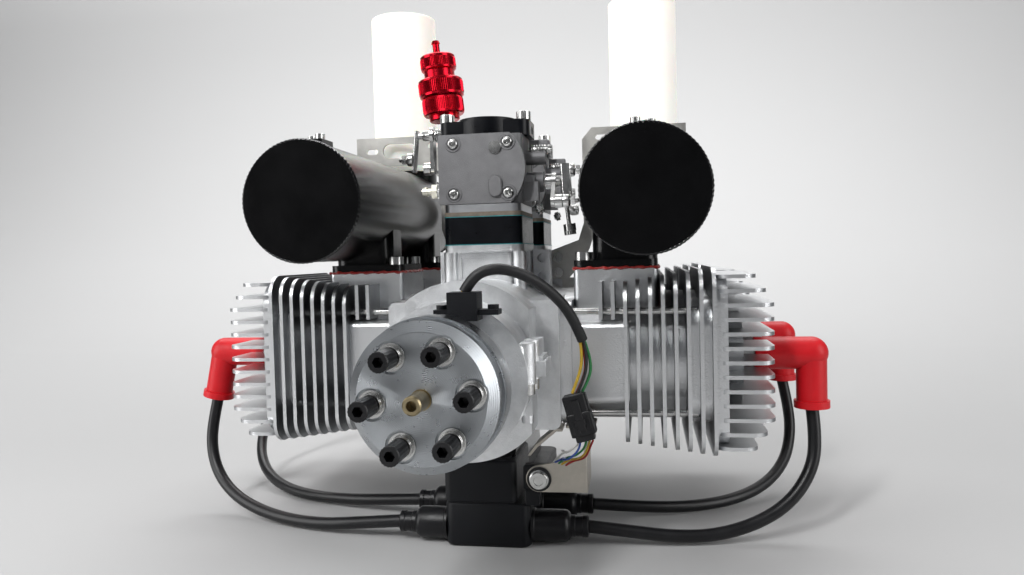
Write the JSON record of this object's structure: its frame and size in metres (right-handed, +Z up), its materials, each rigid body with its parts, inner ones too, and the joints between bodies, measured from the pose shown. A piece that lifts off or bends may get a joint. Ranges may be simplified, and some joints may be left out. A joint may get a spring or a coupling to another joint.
{
  "type": "four-cylinder opposed two-stroke model aircraft engine",
  "caption": "Horizontally opposed spark-ignition two-stroke engine with finned cylinders, twin carburettors, canister mufflers, propeller hub and ignition module.",
  "frame": {"origin": "crank axis in the rear mounting plane, the rear faces of the four standoffs", "axes": "+Z up as the engine stands on its ignition module, -Y towards the propeller along the crank axis, +X the right-hand cylinder bank seen from the propeller"},
  "size_m": [0.3891, 0.3549, 0.344],
  "materials": {
    "cast_aluminium": "bead-blasted casting",
    "finned_aluminium": "cast, fin edges machined",
    "machined_aluminium": "turned, fine radial sheen",
    "black_anodised": "black anodised satin",
    "brown_insulator": "phenolic board",
    "teal_gasket": "gasket sheet",
    "carburettor_zinc": "die-cast grey",
    "screw_steel": "zinc plated",
    "lever_steel": "bright zinc plated",
    "brass": "yellow plated",
    "plug_steel": "plated",
    "red_silicone": "soft satin",
    "lead_jacket": "smooth silicone jacket",
    "muffler_black": "heat-proof satin black",
    "red_sealant": "high-temperature sealant",
    "white_ptfe": "waxy fluoropolymer",
    "sheet_steel": "plain sheet",
    "module_plastic": "fine-textured moulding",
    "boot_rubber": "matt rubber",
    "cable_sleeve": "satin sleeve",
    "connector_plastic": "moulded",
    "red_anodised": "red anodised",
    "crank_steel": "ground",
    "black_oxide": "black oxide heads, plated washers",
    "piston_aluminium": "machined",
    "rod_steel": "forged",
    "reed_plastic": "moulded"
  },
  "bodies": {
    "engine": {"air_horn_plates": "black_anodised", "cable_connectors": "connector_plastic", "carburettor_adapters": "machined_aluminium", "carburettor_front": "carburettor_zinc", "carburettor_gaskets": "teal_gasket", "carburettor_insulators": "brown_insulator", "carburettor_rear": "carburettor_zinc", "carburettor_screws": "screw_steel", "carburettor_spacers": "black_anodised", "case_screws": "screw_steel", "crankcase_front": "cast_aluminium", "crankcase_rear": "cast_aluminium", "cylinder_front_left": "finned_aluminium", "cylinder_front_right": "finned_aluminium", "cylinder_rear_left": "finned_aluminium", "cylinder_rear_right": "finned_aluminium", "diaphragm_covers": "carburettor_zinc", "exhaust_gaskets": "red_sealant", "exhaust_tubes": "white_ptfe", "fuel_filter": "red_anodised", "fuel_inlets": "brass", "hall_sensor": "module_plastic", "ht_lead_front_left": "lead_jacket", "ht_lead_front_right": "lead_jacket", "ht_lead_rear_left": "lead_jacket", "ht_lead_rear_right": "lead_jacket", "ignition_bracket": "sheet_steel", "ignition_module": "module_plastic", "lead_boots": "boot_rubber", "main_bearings": "screw_steel", "mount_standoffs": "machined_aluminium", "muffler_brackets": "sheet_steel", "muffler_left": "muffler_black", "muffler_right": "muffler_black", "nose_housing": "cast_aluminium", "plug_caps": "red_silicone", "rear_cover": "cast_aluminium", "reed_blocks": "reed_plastic", "sensor_cable": "cable_sleeve", "shaft_seal": "boot_rubber", "spark_plugs": "plug_steel"},
    "crank": {"crankshaft": "crank_steel", "prop_hub": "machined_aluminium", "prop_washer": "machined_aluminium", "prop_bolts": "black_oxide", "hub_stud": "brass"},
    "throttle_front": {"throttle_valve_front": "lever_steel"},
    "throttle_rear": {"throttle_valve_rear": "lever_steel"},
    "throttle_rod": {"throttle_link": "lever_steel"},
    "choke_front": {"choke_valve_front": "lever_steel"},
    "choke_rear": {"choke_valve_rear": "lever_steel"},
    "choke_rod": {"choke_link": "lever_steel"},
    "piston_set_front_right": {"piston_front_right": "piston_aluminium", "connecting_rod_front_right": "rod_steel"},
    "piston_set_front_left": {"piston_front_left": "piston_aluminium", "connecting_rod_front_left": "rod_steel"},
    "piston_set_rear_right": {"piston_rear_right": "piston_aluminium", "connecting_rod_rear_right": "rod_steel"},
    "piston_set_rear_left": {"piston_rear_left": "piston_aluminium", "connecting_rod_rear_left": "rod_steel"}
  },
  "joints": [
    {"name": "crank_turn", "type": "hinge", "parent": "engine", "child": "crank", "pos_m": [0, -0.179, 0], "axis": [0, 1, 0], "continuous": true},
    {"name": "throttle_front_turn", "type": "hinge", "parent": "engine", "child": "throttle_front", "pos_m": [0, -0.179, 0.101], "axis": [1, 0, 0], "range_deg": [0, 75], "stiffness_Nm_per_rad": 0.02, "springref_deg": -20.05},
    {"name": "throttle_rear_turn", "type": "hinge", "parent": "engine", "child": "throttle_rear", "pos_m": [0, -0.08, 0.101], "axis": [1, 0, 0], "range_deg": [0, 75], "stiffness_Nm_per_rad": 0.02, "springref_deg": -20.05},
    {"name": "throttle_rod_turn", "type": "hinge", "parent": "throttle_front", "child": "throttle_rod", "pos_m": [0.0425, -0.18929, 0.08874], "axis": [1, 0, 0], "range_deg": [-75, 0]},
    {"name": "choke_front_turn", "type": "hinge", "parent": "engine", "child": "choke_front", "pos_m": [0, -0.179, 0.1315], "axis": [1, 0, 0], "range_deg": [0, 85]},
    {"name": "choke_rear_turn", "type": "hinge", "parent": "engine", "child": "choke_rear", "pos_m": [0, -0.08, 0.1315], "axis": [1, 0, 0], "range_deg": [0, 85]},
    {"name": "choke_rod_turn", "type": "hinge", "parent": "choke_front", "child": "choke_rod", "pos_m": [-0.0375, -0.179, 0.1115], "axis": [1, 0, 0], "range_deg": [-85, 0]},
    {"name": "piston_front_right_slide", "type": "slide", "parent": "engine", "child": "piston_set_front_right", "axis": [1, 0, 0], "range_m": [-0.044, 0]},
    {"name": "piston_front_left_slide", "type": "slide", "parent": "engine", "child": "piston_set_front_left", "axis": [1, 0, 0], "range_m": [0, 0.044]},
    {"name": "piston_rear_right_slide", "type": "slide", "parent": "engine", "child": "piston_set_rear_right", "axis": [1, 0, 0], "range_m": [0, 0.044]},
    {"name": "piston_rear_left_slide", "type": "slide", "parent": "engine", "child": "piston_set_rear_left", "axis": [1, 0, 0], "range_m": [-0.044, 0]}
  ],
  "couplings": [
    {"joint": "throttle_rear_turn", "follows": "throttle_front_turn", "ratio": 1},
    {"joint": "throttle_rod_turn", "follows": "throttle_front_turn", "ratio": -1},
    {"joint": "choke_rear_turn", "follows": "choke_front_turn", "ratio": 1},
    {"joint": "choke_rod_turn", "follows": "choke_front_turn", "ratio": -1},
    {"joint": "piston_front_left_slide", "follows": "piston_front_right_slide", "ratio": -1},
    {"joint": "piston_rear_right_slide", "follows": "piston_front_right_slide", "ratio": -1},
    {"joint": "piston_rear_left_slide", "follows": "piston_front_right_slide", "ratio": 1}
  ]
}
